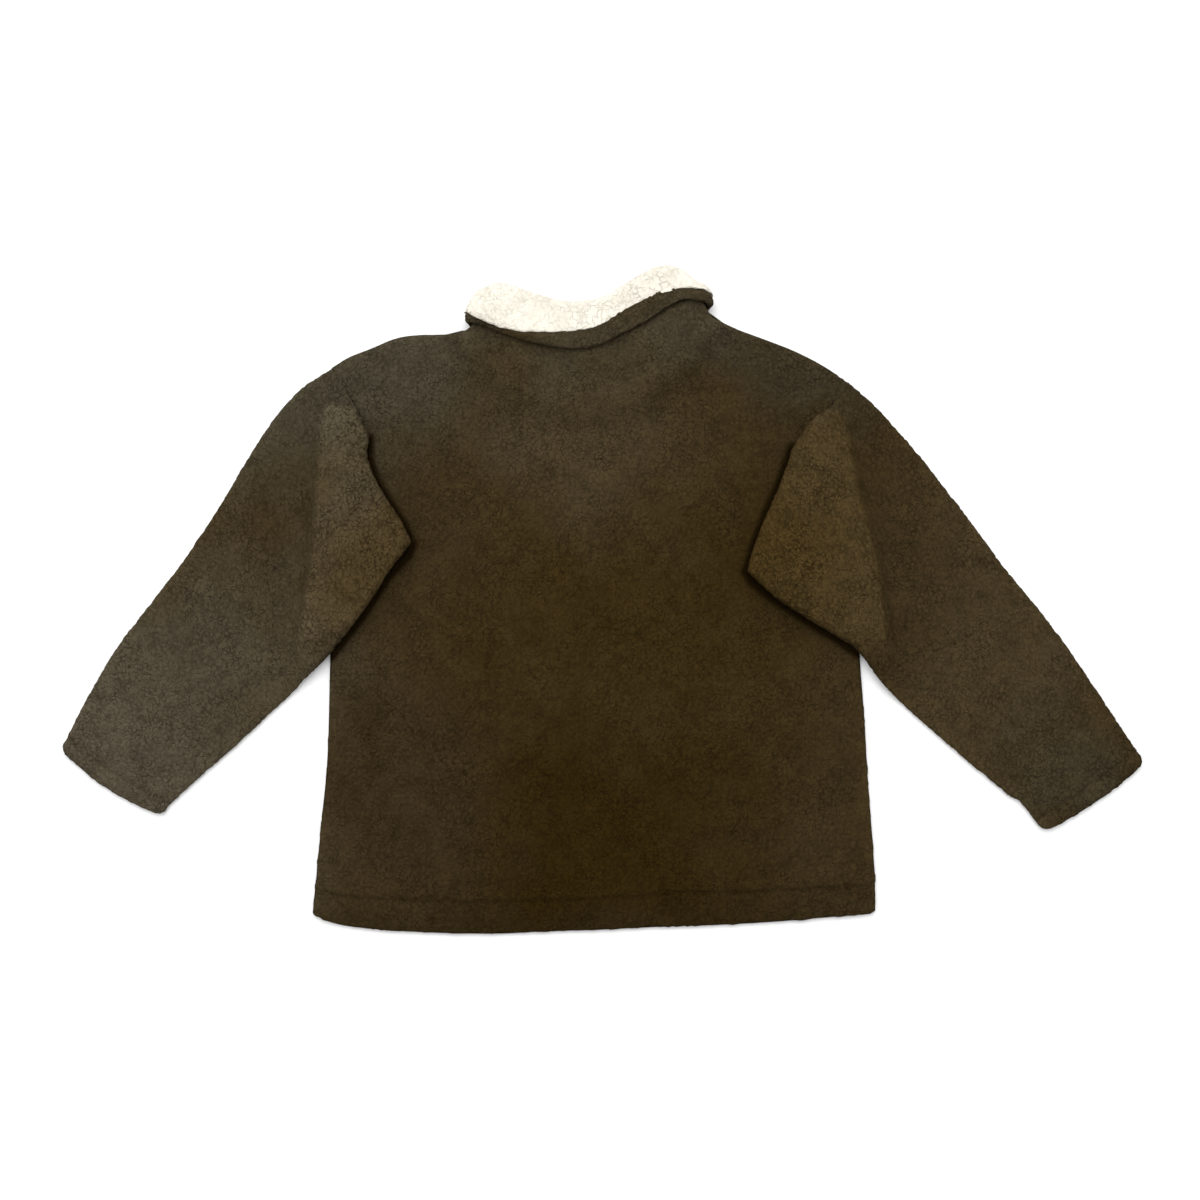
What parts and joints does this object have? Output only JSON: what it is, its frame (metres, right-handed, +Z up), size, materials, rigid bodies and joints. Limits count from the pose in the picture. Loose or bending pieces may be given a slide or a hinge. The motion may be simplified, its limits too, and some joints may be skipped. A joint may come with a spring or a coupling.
{
  "type": "sherpa fleece pullover",
  "caption": "Brown sherpa fleece pullover with a fold-down collar lined in cream, laid flat on its front.",
  "frame": {"origin": "centre of the bounding box, at the surface the pullover lies on", "axes": "+X runs across the pullover towards its right sleeve, +Y towards the collar, +Z up out of its back"},
  "size_m": [1.135, 0.7016, 0.0311],
  "materials": {
    "fleece": "brown sherpa pile",
    "lining": "cream sherpa pile"
  },
  "bodies": {
    "root": {"back_panel": "fleece", "front_panel": "fleece", "sleeve_left": "fleece", "sleeve_right": "fleece", "collar_under": "fleece", "collar_lining": "lining"}
  },
  "joints": []
}
